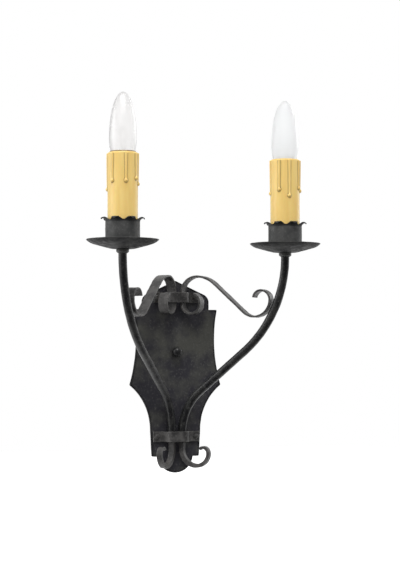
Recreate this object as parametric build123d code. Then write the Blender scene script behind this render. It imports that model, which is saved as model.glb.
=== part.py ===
from build123d import *
from math import cos, radians, sin, sqrt, tan
import os

# Candle wall light in hammered black iron, with two electric candles. Millimetres.
# X runs to the right, Y into the wall and Z up. The origin is on the wall, on the hanging stud's axis,
# so everything in front of the wall has a negative Y.

# Clearances
weld_gap = 0.05          # between pieces that are welded, clamped or screwed together
seat_gap = 0.1           # between a clamped bar and the plate or strap that holds it
turn_gap = 0.08          # radial, where a piece turns on another
plug_gap = 0.25          # radial, between the bulb's base and its socket

# Backplate, with the right half of its outline measured from the stud
plate_thick = 3.0
crown_top = 84.5
crown_half = 42.0
crown_pitch = 24.0       # degrees
crown_corner_r = 9.5
shoulder_half = 52.5
shoulder_z = 50.5
waist_half = 49.3
waist_z = 8.0
ear_half = 57.2
ear_z = -39.0
neck_half = 31.2
neck_z = -92.0
foot_half = 29.5
foot_z = -123.5
tongue_half = 21.7
tongue_deep = 19.5
plate_corner_r = 1.2
plate_edge = 0.5

# Wiring pan behind the plate
pan_depth = 16.0
pan_wall = 1.5
pan_half = 33.0
pan_hip = -40.0          # where the sides start to close in
pan_knee = -66.0         # where they run down again
pan_room = 2.5           # between the pan and the pieces inside it
pan_corner_r = 4.0

# Crossbar, stud and nuts
bar_end = 5.3            # beyond each box screw slot
bar_width = 19.0
bar_thick = 2.0
slot_spacing = 79.4      # between the centres of the two box screw slots
slot_length = 14.0
slot_width = 4.5
stud_r = 2.4
stud_proud = 8.0         # in front of the plate
hex_across = 8.0
hex_high = 3.2
ball_r = 6.5
ball_centre = 5.6        # in front of the plate
ground_z = -20.0
ground_head_r = 4.0
ground_head_high = 2.4
ground_shank_r = 1.9

# Arms, of bent pipe, each in an upright plane turned out from the wall's normal
arm_spread = 45.0        # degrees
pipe_r = 5.0
pipe_bore_r = 3.4
pipe_pitch = 12.9        # between the two pipes where they are clamped
arm_reach = 131.0        # from the clamped run to the candle's axis, in the arm's plane
arm_slope = 39.6         # degrees, of the straight run between the two bends
knee_above = 4.6         # from the lower strap's centre to where the pipe starts to bend
knee_r = 64.0
elbow_r = 142.0

# Flat bars
strip_thick = 3.2
ribbon_wide = 12.7
tail_wide = 7.0
tail_thick = 6.6         # below the pipe
tail_end_thick = 3.6
strap_high = 12.7
strap_flange = 11.2      # flat end of a strap, on the plate
strap_bend_r = 4.0
strap_slope = 65.0       # degrees
lower_strap_z = -100.0
upper_strap_z = 64.7
rivet_inset = 4.6        # from the strap's end
rivet_r = 2.0
rivet_head_r = 3.6
rivet_head_high = 2.2

# Bends of the flat bars, each a radius and a turn
arch_run = 5.5           # straight above the upper strap's centre
arch_r = 19.0
brow_r = 34.0
brow_slope = 42.0        # degrees
hook_r = 19.5
curl_r = 11.0
curl_end_r = 9.5
curl_end_turn = 85.0
inner_run = 7.2          # straight below the upper strap's centre
inner_r = 12.0
inner_turn = 250.0
tail_run = 8.6
tail_radii = (19.0, 15.1, 6.5)
tail_end_r = 5.0
tail_end_turn = 60.0

# Drip pan, cup and the nuts that hold them on the pipe
sheet = 1.4
ring_wall = 2.4
ring_high = 4.4
ring_chamfer = 1.6
ring_rise = 0.1          # from the arm's upper bend to the check ring
dish_r = 41.0
dish_floor_room = 0.7    # flat floor beyond the corners of the nut
dish_bend_r = 20.0
dish_slope = 15.5        # degrees
rim_bend_r = 18.6
rim_slope = 46.0         # degrees
cup_room = 2.75          # around the sleeve, to the cup's outside
cup_corner_r = 1.9
cup_wall_high = 28.0     # from the flat floor to where the rim starts to flare
flare_r = 5.0
flare_turn = 80.0        # degrees
lip_r = 2.0
lip_turn = 50.0          # degrees
petal_count = 7
petal_r = 7.0
notch_r = 5.5
notch_deep = 3.3
left_petal_turn = 22.9   # degrees
right_petal_turn = 17.7
nut_wall = 3.5
nut_high = 4.0

# Candle sleeve
sleeve_wall = 1.9
sleeve_slip = 0.4        # radial, between the sleeve and the socket inside it
sleeve_high = 104.5
sleeve_round = 1.5
drip_r = 1.3
bead_r = 1.8
drip_stand = 0.3         # how far a drip's axis stands out of the sleeve's face
# Each drip: bearing from straight ahead in degrees, positive to the right, and length from the top
left_drips = ((-111, 44), (-61, 35), (-6, 35), (40, 32), (64, 38), (118, 41), (176, 33))
right_drips = ((-101, 42), (-47, 38), (-6, 45), (42, 36), (64, 39), (125, 34), (180, 43))

# Lamp socket
socket_wall = 0.95
socket_high = 27.0
socket_floor = 3.5
socket_top_below = 9.5   # below the sleeve's top
shell_thick = 0.35
shell_high = 20.0
hub_wall = 3.0
hub_high = 8.0
foot_r = 10.5
leg_wide = 9.0
leg_thick = 1.5
spring_wide = 5.0
spring_thick = 0.5
spring_high = 2.2
spring_bend = 45.0       # degrees

# Bulb
bulb_high = 99.0
glass_r = 15.6
glass_belly = 47.5       # widest level, above the bulb's foot
glass_steps = 6          # points on the oval from the widest level to the tip
glass_neck_r = 12.0
glass_neck_deep = 6.0    # how far the neck stands in its base
glass_wall = 0.7
base_high = 25.5
thread_r = 0.6
thread_pitch = 3.6
thread_count = 5
base_wall = 0.45         # at the root of its thread
insulator_high = 3.6
insulator_foot_r = 6.0
contact_r = 4.6
contact_high = 1.2
stem_r = 2.6
stem_high = 17.0
wire_r = 0.3
wire_high = 15.0
wire_spread = 4.5
filament_rise = 9.0

# Leads
lead_r = 1.2
lead_offset = 1.35       # each side of the pipe's axis
lead_turn_r = 4.0
lead_run = 0.5           # straight between the pipe's bend and the turn through the plate
lead_step = 2.6          # one lead turns this much lower than the other
lead_hole_r = 4.3
lead_slot_room = 1.5
bushing_wall = 0.9
bushing_flange_r = 5.6
bushing_flange_thick = 1.2
lead_end_gap = 3.0       # from the wall

# Sizes that follow, from the bulb outwards
base_r = glass_neck_r + weld_gap + base_wall
shell_r = base_r + thread_r + plug_gap
socket_r = shell_r + shell_thick + weld_gap + socket_wall
sleeve_bore_r = socket_r + sleeve_slip
sleeve_r = sleeve_bore_r + sleeve_wall
cup_r = sleeve_r + cup_room
cup_bend_r = dish_bend_r - sheet - weld_gap
dish_floor_r = (pipe_r + nut_wall) / cos(radians(30)) + dish_floor_room
pipe_hole_r = pipe_r + weld_gap
lead_bore_r = lead_hole_r - weld_gap - bushing_wall

# Levels and planes that follow
plate_back = -pan_depth
plate_front = plate_back - plate_thick
bar_half = slot_spacing / 2 + slot_length / 2 + bar_end
spread = radians(arm_spread)
pipe_stand = pipe_r + seat_gap
pipe_foot = lower_strap_z - strap_high / 2
out = Vector(sin(spread), -cos(spread), 0)
across = Vector(-cos(spread), -sin(spread), 0)
arm_base = Vector(pipe_pitch / 2, plate_front - pipe_stand, 0)
arm_plane = Plane(origin=arm_base, x_dir=out, z_dir=across)
candle_axis = arm_base + out * arm_reach
half_bend = tan(radians(90 - arm_slope) / 2)
knee_start = lower_strap_z + knee_above
knee_z = knee_start + knee_r * half_bend
elbow_z = knee_z + arm_reach * tan(radians(arm_slope))
elbow_end = elbow_z + elbow_r * half_bend
dish_z = elbow_end + ring_rise + ring_high
cup_z = dish_z + sheet + weld_gap
nut_z = cup_z + sheet
hub_z = nut_z + nut_high + weld_gap
pipe_top = hub_z + hub_high
floor_bend_r = cup_bend_r - sheet / 2
floor_bent = min(sleeve_r - dish_floor_r, floor_bend_r * sin(radians(dish_slope)))
floor_rise = floor_bend_r - sqrt(floor_bend_r**2 - floor_bent**2)
floor_rise += (sleeve_r - dish_floor_r - floor_bent) * tan(radians(dish_slope))
sleeve_z = nut_z + floor_rise + turn_gap
sleeve_top = sleeve_z + sleeve_high
socket_top = sleeve_top - socket_top_below
socket_z = socket_top - socket_high
bulb_z = socket_z + socket_floor + spring_high + seat_gap
lead_hole_z = knee_start - lead_run - lead_turn_r - lead_step / 2

# Turns a shape drawn in X and Y, and raised in Z, to face forward out of the wall
front = Rot(90, 0, 0)


def bar_face(start, heading, moves, thick, end_thick=None):
    """Side view of a bent bar, even or tapered, by runs (length,) and bends (radius, turn), left positive."""
    longs = [move[0] if len(move) == 1 else move[0] * radians(abs(move[1])) for move in moves]
    taper = 0 if end_thick is None else (end_thick - thick) / sum(longs)
    point = Vector(*start)
    angle = radians(heading)
    gone = 0
    sides = [[], []]
    for move, long in zip(moves, longs):
        left = Vector(-sin(angle), cos(angle))
        if len(move) == 1:
            along = Vector(cos(angle), sin(angle))
            stations = [(point + along * (long * share), left, share) for share in (0, 1)]
        else:
            radius, turn = move
            reach = radius if turn > 0 else -radius
            centre = point + left * reach
            stations = []
            for share in (0, 0.5, 1):
                bent = angle + radians(turn) * share
                left = Vector(-sin(bent), cos(bent))
                stations.append((centre - left * reach, left, share))
            angle += radians(turn)
        for side, hand in zip(sides, (0.5, -0.5)):
            edge = []
            for place, left, share in stations:
                edge.append(place + left * (hand * (thick + taper * (gone + long * share))))
            side.append(Line(*edge) if len(edge) == 2 else ThreePointArc(*edge))
        point = stations[-1][0]
        gone += long
    caps = [Line(sides[0][0] @ 0, sides[1][0] @ 0), Line(sides[0][-1] @ 1, sides[1][-1] @ 1)]
    return make_face(sides[0] + sides[1] + caps)


def turned(face):
    """Solid of revolution about the Z axis of a face drawn as radius and height."""
    return revolve(front * face, Axis.Z)


def tube(outer_r, inner_r, low, high):
    """Upright round tube between two levels."""
    ring = Circle(outer_r) - Circle(inner_r)
    return Pos(0, 0, low) * extrude(ring, high - low)


def hexagon(across_flats, bore_r, high):
    """Hexagon nut standing on Z = 0."""
    outline = RegularPolygon(across_flats / 2, 6, major_radius=False)
    return extrude(outline - Circle(bore_r), high)


def dome(base_radius, high):
    """Flat-based dome standing on Z = 0."""
    ball = (base_radius**2 + high**2) / (2 * high)
    return Pos(0, 0, high - ball) * Sphere(ball) & Pos(0, 0, high / 2) * Cylinder(base_radius * 2, high)


def on_candle(part):
    """Moves a piece from the Z axis to the right candle's axis."""
    return Pos(candle_axis.X, candle_axis.Y, 0) * part


def on_left_candle(part):
    """Moves a piece from the Z axis to the left candle's axis."""
    return Pos(-candle_axis.X, candle_axis.Y, 0) * part


def left_of(part):
    """The same piece on the left arm."""
    return mirror(part, about=Plane.YZ)


def corner_of(face, point):
    """The face's corner nearest to a point."""
    return face.vertices().sort_by_distance((*point, 0))[0]


def plate_outline():
    apex = (0, crown_top)
    crown_corner = (crown_half, crown_top - crown_half * tan(radians(crown_pitch)))
    step = (crown_half, shoulder_z)
    shoulder = (shoulder_half, shoulder_z)
    ear = (ear_half, ear_z)
    neck = (neck_half, neck_z)
    foot = (foot_half, foot_z)
    tongue = (tongue_half, foot_z)
    tip = (0, foot_z - tongue_deep)
    half = make_face(
        [
            Polyline(apex, crown_corner, step, shoulder),
            ThreePointArc(shoulder, (waist_half, waist_z), ear),
            TangentArc(neck, ear, tangent=(0, 1)),
            Polyline(neck, foot, tongue),
            TangentArc(tip, tongue, tangent=(1, 0)),
            Line(tip, apex),
        ]
    )
    half = fillet(corner_of(half, crown_corner), crown_corner_r)
    for point in (shoulder, ear, foot):
        half = fillet(corner_of(half, point), plate_corner_r)
    return half + mirror(half, about=Plane.YZ)


def lead_holes(radius):
    return Pos(-arm_base.X, lead_hole_z) * Circle(radius) + Pos(arm_base.X, lead_hole_z) * Circle(radius)


def backplate():
    outline = plate_outline()
    plate = extrude(outline, plate_thick)
    plate = chamfer(plate.faces().sort_by(Axis.Z)[-1].edges(), plate_edge)
    holes = Circle(stud_r + turn_gap) + lead_holes(lead_hole_r)
    for plan, z in ((lower_plan, lower_strap_z), (upper_plan, upper_strap_z)):
        for x in rivet_places(plan):
            holes += Pos(x, z) * Circle(rivet_r + weld_gap)
    plate -= extrude(holes, plate_thick)
    return Pos(0, plate_back, 0) * front * plate


def wiring_pan():
    top = bar_half + pan_room + pan_wall
    foot = lead_hole_z - bushing_flange_r - pan_room - pan_wall
    foot_half = arm_base.X + bushing_flange_r + pan_room + pan_wall
    right = [(pan_half, top), (pan_half, pan_hip), (foot_half, pan_knee), (foot_half, foot)]
    left = [(-x, z) for x, z in reversed(right)]
    outline = make_face(FilletPolyline(*right, *left, radius=pan_corner_r, close=True))
    wall = extrude(outline - offset(outline, -pan_wall), pan_depth)
    return front * wall


def crossbar():
    bar = Rectangle(bar_width, 2 * bar_half)
    bar -= Circle(stud_r + weld_gap)
    bar -= Pos(0, ground_z) * Circle(ground_shank_r + weld_gap)
    for side in (-1, 1):
        bar -= Pos(0, side * slot_spacing / 2) * Rot(0, 0, 90) * SlotOverall(slot_length, slot_width)
    return front * extrude(bar, bar_thick)


def mounting_stud():
    rod = extrude(Circle(stud_r), pan_depth + plate_thick + stud_proud - weld_gap)
    return Pos(0, -weld_gap, 0) * front * rod


def stud_locknut():
    return Pos(0, -bar_thick, 0) * front * hexagon(hex_across, stud_r + weld_gap, hex_high)


def cap_nut():
    ball = Pos(0, 0, ball_centre) * Sphere(ball_r)
    ball &= Pos(0, 0, ball_r + ball_centre) * Cylinder(2 * ball_r, 2 * (ball_r + ball_centre))
    ball -= extrude(Circle(stud_r + turn_gap), stud_proud + seat_gap)
    return Pos(0, plate_front, 0) * front * ball


def ground_screw():
    head = Cylinder(ground_head_r, ground_head_high, align=(Align.CENTER, Align.CENTER, Align.MIN))
    head -= Pos(0, 0, ground_head_high) * Box(2 * ground_head_r, ground_shank_r / 2, ground_head_high)
    shank = Pos(0, 0, -bar_thick) * extrude(Circle(ground_shank_r), bar_thick)
    return Pos(0, -bar_thick, ground_z) * front * (head + shank)


def strap_plan(raise_high, held_x, held_out, held_r):
    """Bends of a hat-shaped strap, and half its length. Its sloping sides clear a round of held_r."""
    slope = radians(strap_slope)
    side_run = (raise_high - 2 * strap_bend_r * (1 - cos(slope))) / sin(slope)
    inner_high = raise_high / 2 + strip_thick / 2 * (1 - cos(slope))
    inner_x = held_x + (held_r + seat_gap - (inner_high - held_out) * cos(slope)) / sin(slope)
    side_x = inner_x + strip_thick / 2 * sin(slope)
    side_half = strap_bend_r * sin(slope) + side_run / 2 * cos(slope)
    top_run = 2 * (side_x - side_half)
    bend_up = (strap_bend_r, strap_slope)
    bend_down = (strap_bend_r, -strap_slope)
    rise = [(strap_flange,), bend_up, (side_run,), bend_down]
    moves = rise + [(top_run,)] + rise[::-1]
    return moves, side_x + side_half + strap_flange


def rivet_places(plan):
    """X of the two rivets of a strap."""
    half_long = plan[1]
    return rivet_inset - half_long, half_long - rivet_inset


def ribbon_stand():
    """How far a ribbon's clamped run stands out of the plate, turned to the arm's plane."""
    return ribbon_wide / 2 * sin(spread) + strip_thick / 2 * cos(spread) + seat_gap


def ribbon_start():
    """The ribbon's clamped run, from the pipe's, in the arm's plane."""
    return (ribbon_stand() - pipe_stand) / cos(spread)


def plan_of_lower_strap():
    return strap_plan(2 * pipe_r + 2 * seat_gap, arm_base.X, pipe_stand, pipe_r)


def plan_of_upper_strap():
    """Held at the outer corner of the ribbon's section."""
    raise_high = 2 * ribbon_stand()
    corner_out = ribbon_stand() - ribbon_wide / 2 * sin(spread) + strip_thick / 2 * cos(spread)
    corner_x = arm_base.X + (ribbon_start() + strip_thick / 2) * sin(spread) + ribbon_wide / 2 * cos(spread)
    return strap_plan(raise_high, corner_x, corner_out, 0)


lower_plan = plan_of_lower_strap()
upper_plan = plan_of_upper_strap()


def strap(plan, z):
    moves, half_long = plan
    bar = extrude(bar_face((-half_long, strip_thick / 2), 0, moves, strip_thick), strap_high / 2, both=True)
    for x in rivet_places(plan):
        bar -= Pos(x, strip_thick / 2, 0) * front * Cylinder(rivet_r + weld_gap, 2 * strip_thick)
    return Pos(0, plate_front, z) * Rot(180, 0, 0) * bar


def rivets(plan, z):
    """The pair that holds a strap, with a round head in front and a flatter one behind the plate."""
    grip = plate_thick + strip_thick
    shank = extrude(Circle(rivet_r), grip)
    head = Pos(0, 0, grip) * dome(rivet_head_r, rivet_head_high)
    back = Rot(180, 0, 0) * dome(rivet_head_r, rivet_head_high / 2)
    rivet = front * (shank + head + back)
    return Compound(children=[Pos(x, plate_back, z) * rivet for x in rivet_places(plan)])


def arm():
    """Pipe bent out and up, slotted at the back of its foot for the leads."""
    corners = [(0, pipe_foot), (0, knee_z), (arm_reach, elbow_z), (arm_reach, pipe_top)]
    path = FilletPolyline(*corners, radius=[knee_r, elbow_r])
    section = Plane(origin=path @ 0, z_dir=path % 0) * (Circle(pipe_r) - Circle(pipe_bore_r))
    pipe = arm_plane * sweep(section, path)
    slot_low = lead_hole_z - lead_step / 2 - lead_r - lead_slot_room
    slot_high = lead_hole_z + lead_step / 2 + lead_turn_r + lead_slot_room
    slot = Rot(0, 0, 90) * SlotOverall(slot_high - slot_low, 2 * lead_bore_r)
    cut = front * extrude(slot, pipe_stand)
    return pipe - Pos(arm_base.X, plate_front, (slot_low + slot_high) / 2) * cut


def tail_scroll():
    moves = [(tail_run,)] + [(radius, 90) for radius in tail_radii] + [(tail_end_r, tail_end_turn)]
    face = bar_face((0, pipe_foot - weld_gap), -90, moves, tail_thick, tail_end_thick)
    return arm_plane * extrude(face, tail_wide / 2, both=True)


def ribbon_scroll():
    start = (ribbon_start(), upper_strap_z)
    slope = radians(brow_slope)
    # Where the brow ends and the straight slope begins
    arch_top = Vector(start[0] + arch_r, start[1] + arch_run + arch_r)
    brow_end = arch_top + Vector(brow_r * sin(slope), -brow_r * (1 - cos(slope)))
    down = Vector(cos(slope), -sin(slope))
    inward = Vector(sin(slope), cos(slope))
    # The slope is as long as lets the hook's outside touch the inner side of the arm's upper bend
    bend_centre = Vector(arm_reach - elbow_r, elbow_end)
    away = elbow_r - pipe_r - weld_gap - hook_r - strip_thick / 2
    lag = brow_end + inward * hook_r - bend_centre
    run = -lag.dot(down) + sqrt(lag.dot(down) ** 2 - lag.dot(lag) + away**2)
    upward = [
        (arch_run,),
        (arch_r, -90),
        (brow_r, -brow_slope),
        (run,),
        (hook_r, brow_slope + 90),
        (curl_r, 90),
        (curl_end_r, curl_end_turn),
    ]
    downward = [(inner_run,), (inner_r, inner_turn)]
    face = bar_face(start, 90, upward, strip_thick) + bar_face(start, -90, downward, strip_thick)
    return arm_plane * extrude(face, ribbon_wide / 2, both=True)


def check_ring():
    low = dish_z - ring_high
    ring_r = pipe_r + ring_wall
    profile = Polyline(
        (pipe_hole_r, low),
        (ring_r - ring_chamfer, low),
        (ring_r, low + ring_chamfer),
        (ring_r, dish_z),
        (pipe_hole_r, dish_z),
        close=True,
    )
    return on_candle(turned(make_face(profile)))


def drip_pan():
    """Shallow saucer, turned up at its rim."""
    slope = radians(dish_slope)
    rim = radians(rim_slope)
    bent = dish_floor_r + dish_bend_r * sin(slope) + rim_bend_r * (sin(rim) - sin(slope))
    moves = [
        (dish_floor_r - pipe_hole_r,),
        (dish_bend_r, dish_slope),
        ((dish_r - bent) / cos(slope),),
        (rim_bend_r, rim_slope - dish_slope),
    ]
    return on_candle(turned(bar_face((pipe_hole_r, dish_z + sheet / 2), 0, moves, sheet)))


def candle_cup(petal_turn):
    """Cup nested in the saucer, with a flared rim that is cut into rounded petals."""
    slope = radians(dish_slope)
    bent = dish_floor_r + cup_bend_r * sin(slope) + cup_corner_r * (1 - sin(slope))
    run = (cup_r - sheet / 2 - bent) / cos(slope)
    wall_foot = cup_bend_r * (1 - cos(slope)) + run * sin(slope) + cup_corner_r * cos(slope)
    moves = [
        (dish_floor_r - pipe_hole_r,),
        (cup_bend_r, dish_slope),
        (run,),
        (cup_corner_r, 90 - dish_slope),
        (cup_wall_high - wall_foot,),
        (flare_r, -flare_turn),
        (lip_r, -lip_turn),
    ]
    cup = turned(bar_face((pipe_hole_r, cup_z + sheet / 2), 0, moves, sheet))
    reach = cup.bounding_box().max
    plan = Circle(cup_r + sheet / 2)
    notch = Pos(cup_r, 0, reach.Z + notch_r - notch_deep) * Rot(0, 90, 0) * Cylinder(notch_r, cup_r)
    for step in range(petal_count):
        plan += Rot(0, 0, 360 * step / petal_count) * Pos(reach.X - petal_r, 0) * Circle(petal_r)
        cup -= Rot(0, 0, 360 * (step + 0.5) / petal_count) * notch
    return Rot(0, 0, petal_turn) * (cup & extrude(plan, reach.Z))


def locknut():
    return on_candle(Pos(0, 0, nut_z) * hexagon(2 * (pipe_r + nut_wall), pipe_hole_r, nut_high))


def socket_bracket():
    """Hub on the pipe's end, a leg beside the leads and a foot that carries the socket."""
    hub_r = pipe_r + hub_wall
    hub = tube(hub_r, pipe_hole_r, hub_z, pipe_top)
    foot = tube(foot_r, pipe_bore_r, socket_z - leg_thick, socket_z)
    leg_high = socket_z - hub_z
    leg = Pos(hub_r - leg_thick / 2, 0, hub_z + leg_high / 2) * Box(leg_thick, leg_wide, leg_high)
    return on_candle(hub + leg + foot)


def socket_body():
    body = tube(socket_r, shell_r + shell_thick + weld_gap, socket_z, socket_top)
    floor = Pos(0, 0, socket_z) * extrude(Circle(socket_r), socket_floor)
    return on_candle(body + floor)


def screw_shell():
    low = socket_z + socket_floor
    return on_candle(tube(shell_r + shell_thick, shell_r, low, low + shell_high))


def center_contact():
    """Spring tongue bent up from the socket's floor to meet the bulb."""
    low = socket_z + socket_floor + spring_thick / 2
    rise = spring_high - spring_thick
    bend = rise / 2 / (1 - cos(radians(spring_bend)))
    moves = [(bend,), (bend, spring_bend), (bend, -spring_bend), (2 * bend,)]
    face = bar_face((-3 * bend, low), 0, moves, spring_thick)
    return on_candle(Rot(90, 0, 0) * extrude(face, spring_wide / 2, both=True))


def candle_sleeve(drips):
    sleeve = Pos(0, 0, sleeve_z) * extrude(Circle(sleeve_r), sleeve_high)
    sleeve = fillet(sleeve.edges().group_by(Axis.Z)[-1], sleeve_round)
    stand = sleeve_r + drip_stand
    for bearing, long in drips:
        low = Pos(stand, 0, sleeve_top - long + bead_r)
        run = long - bead_r - drip_r - sleeve_round
        drip = low * extrude(Circle(drip_r), run)
        drip += low * Sphere(bead_r)
        drip += Pos(stand, 0, sleeve_top - drip_r - sleeve_round) * Sphere(drip_r)
        sleeve += Rot(0, 0, bearing - 90) * drip
    return sleeve - Pos(0, 0, sleeve_z) * extrude(Circle(sleeve_bore_r), sleeve_high)


def glass_side(inset):
    """One face of the torpedo glass, from the foot of its neck to its tip, inset by a wall or not."""
    neck_low = (glass_neck_r - inset, bulb_z + base_high - glass_neck_deep)
    neck_high = (glass_neck_r - inset, bulb_z + base_high)
    belly = (glass_r - inset, bulb_z + glass_belly)
    tip_high = bulb_high - glass_belly - inset
    steps = [radians(90 * step / glass_steps) for step in range(glass_steps + 1)]
    oval = [(belly[0] * cos(step), belly[1] + tip_high * sin(step)) for step in steps]
    return [
        Line(neck_low, neck_high),
        TangentArc(belly, neck_high, tangent=(0, -1)),
        Spline(*oval, tangents=[(0, 1), (-1, 0)]),
    ]


def bulb_glass():
    """Hollow glass, open at the foot of its neck."""
    outside = glass_side(0)
    inside = glass_side(glass_wall)
    foot = Line(outside[0] @ 0, inside[0] @ 0)
    tip = Line(outside[-1] @ 1, inside[-1] @ 1)
    return on_candle(turned(make_face(outside + inside + [foot, tip])))


def bulb_base():
    low = bulb_z + insulator_high
    high = bulb_z + base_high
    bore_r = glass_neck_r + weld_gap
    edges = []
    for turn in range(thread_count):
        foot = low + thread_pitch * turn
        crest = (base_r + thread_r, foot + thread_pitch / 2)
        edges.append(ThreePointArc((base_r, foot), crest, (base_r, foot + thread_pitch)))
    thread_top = low + thread_pitch * thread_count
    edges.append(Polyline((base_r, thread_top), (base_r, high), (bore_r, high), (bore_r, low), (base_r, low)))
    return on_candle(turned(make_face(edges)))


def bulb_insulator():
    inner = glass_neck_r - weld_gap
    low = bulb_z + contact_high
    high = bulb_z + insulator_high
    cone = make_face(Polyline((0, low), (insulator_foot_r, low), (base_r, high), (0, high), close=True))
    plug = Pos(0, 0, high) * extrude(Circle(inner), base_wall)
    return on_candle(turned(cone) + plug)


def bulb_contact():
    return on_candle(Pos(0, 0, bulb_z + contact_high) * Rot(180, 0, 0) * dome(contact_r, contact_high))


def bulb_stem():
    """Glass mount: a flare that closes the neck, drawn up to the press that holds the wires."""
    low = bulb_z + base_high - glass_neck_deep
    flare_r_out = glass_neck_r - glass_wall - weld_gap
    top = low + stem_high
    side = Spline(
        (flare_r_out, low + glass_wall),
        (stem_r, low + glass_neck_deep),
        tangents=[(-1, 0), (0, 1)],
    )
    face = make_face(
        [
            Polyline((0, top), (0, low), (flare_r_out, low), (flare_r_out, low + glass_wall)),
            side,
            Polyline((stem_r, low + glass_neck_deep), (stem_r, top), (0, top)),
        ]
    )
    return on_candle(turned(face))


def filament():
    """Two support wires leaning out of the press, with the filament arched between their tips."""
    low = bulb_z + base_high - glass_neck_deep + stem_high
    high = low + wire_high
    path = FilletPolyline(
        (-stem_r / 2, 0, low),
        (-wire_spread, 0, high),
        (0, 0, high + filament_rise),
        (wire_spread, 0, high),
        (stem_r / 2, 0, low),
        radius=wire_r * 2,
    )
    section = Plane(origin=path @ 0, z_dir=path % 0) * Circle(wire_r)
    return on_candle(sweep(section, path))


def lead(side):
    """One of an arm's two leads, from the socket down the pipe and back through the plate."""
    shift = across * (side * lead_offset)
    turn_z = lead_hole_z - side * lead_step / 2

    def place(reach, z):
        return arm_base + shift + out * reach + Vector(0, 0, z)

    foot = place(0, turn_z)
    path = FilletPolyline(
        place(arm_reach, socket_z - weld_gap),
        place(arm_reach, elbow_z),
        place(0, knee_z),
        foot,
        Vector(foot.X, -lead_end_gap, foot.Z),
        radius=[elbow_r, knee_r, lead_turn_r],
    )
    section = Plane(origin=path @ 0, z_dir=path % 0) * Circle(lead_r)
    return sweep(section, path)


def lead_bushings():
    """Snap bushings in the plate, flanged at the back."""
    barrel = tube(lead_hole_r - weld_gap, lead_bore_r, 0, plate_thick)
    flange = tube(bushing_flange_r, lead_bore_r, -bushing_flange_thick, 0)
    bushing = front * (barrel + flange)
    places = [Pos(side * arm_base.X, plate_back, lead_hole_z) for side in (-1, 1)]
    return Compound(children=[place * bushing for place in places])


def write(name, part):
    export_step(part, os.path.join("parts", name + ".step"))


os.makedirs("parts", exist_ok=True)

centre_pieces = {
    "backplate": backplate(),
    "wiring_pan": wiring_pan(),
    "crossbar": crossbar(),
    "mounting_stud": mounting_stud(),
    "stud_locknut": stud_locknut(),
    "cap_nut": cap_nut(),
    "ground_screw": ground_screw(),
    "lower_strap": strap(lower_plan, lower_strap_z),
    "lower_strap_rivets": rivets(lower_plan, lower_strap_z),
    "upper_strap": strap(upper_plan, upper_strap_z),
    "upper_strap_rivets": rivets(upper_plan, upper_strap_z),
    "lead_bushings": lead_bushings(),
}
for name, part in centre_pieces.items():
    write(name, part)

arm_pieces = {
    "arm": arm(),
    "tail_scroll": tail_scroll(),
    "ribbon_scroll": ribbon_scroll(),
    "check_ring": check_ring(),
    "drip_pan": drip_pan(),
    "locknut": locknut(),
    "socket_bracket": socket_bracket(),
    "socket_body": socket_body(),
    "screw_shell": screw_shell(),
    "center_contact": center_contact(),
    "bulb_glass": bulb_glass(),
    "bulb_base": bulb_base(),
    "bulb_insulator": bulb_insulator(),
    "bulb_contact": bulb_contact(),
    "bulb_stem": bulb_stem(),
    "filament": filament(),
    "hot_lead": lead(-1),
    "neutral_lead": lead(1),
}
for name, part in arm_pieces.items():
    write("right_" + name, part)
    write("left_" + name, left_of(part))

write("right_candle_cup", on_candle(candle_cup(right_petal_turn)))
write("left_candle_cup", on_left_candle(candle_cup(left_petal_turn)))
write("right_candle_sleeve", on_candle(candle_sleeve(right_drips)))
write("left_candle_sleeve", on_left_candle(candle_sleeve(left_drips)))
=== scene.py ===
from math import atan2, cos, pi, radians, sin, tan

import bmesh
import bpy
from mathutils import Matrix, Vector


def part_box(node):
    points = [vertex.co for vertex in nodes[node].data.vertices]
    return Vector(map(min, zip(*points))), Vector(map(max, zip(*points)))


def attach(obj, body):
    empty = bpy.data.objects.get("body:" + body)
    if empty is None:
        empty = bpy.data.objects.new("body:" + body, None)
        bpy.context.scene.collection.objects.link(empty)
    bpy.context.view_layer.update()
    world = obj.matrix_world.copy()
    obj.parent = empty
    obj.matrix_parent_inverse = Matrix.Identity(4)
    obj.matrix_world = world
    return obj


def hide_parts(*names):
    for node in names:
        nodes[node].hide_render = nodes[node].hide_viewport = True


# Candle wall light in hammered black iron. X right, Y into the wall, Z up, in metres.
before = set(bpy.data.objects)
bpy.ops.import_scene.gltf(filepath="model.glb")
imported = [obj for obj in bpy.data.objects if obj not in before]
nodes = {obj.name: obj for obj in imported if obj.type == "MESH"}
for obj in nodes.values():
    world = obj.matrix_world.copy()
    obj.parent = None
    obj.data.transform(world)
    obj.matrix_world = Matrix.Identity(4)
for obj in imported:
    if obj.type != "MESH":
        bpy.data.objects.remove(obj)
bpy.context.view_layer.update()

MM = 0.001
SEAM = MM / 1000         # points nearer than this are merged
HAIR = MM / 100          # room for finding points and faces by their place
ORIGIN = (0, 0, 0)
WHITE = (1, 1, 1, 1)

# Plate, straps and rivets
PLATE_BACK = -16 * MM
PLATE_FRONT = -19 * MM
STUD_HOLE_R = 2.5 * MM
LEAD_HOLE_R = 4.3 * MM
LEAD_HOLE_Z = -101.2 * MM
SHEET = 1.4 * MM
STRIP = 3.2 * MM
STRAP_HIGH = 12.7 * MM
STRAP_SLOPE = 65
STRAP_BEND = 4 * MM
STRAP_FLANGE = 11.2 * MM
LOWER_STRAP_Z = -100 * MM
UPPER_STRAP_Z = 64.7 * MM
RIVET_R = 3.6 * MM

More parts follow.
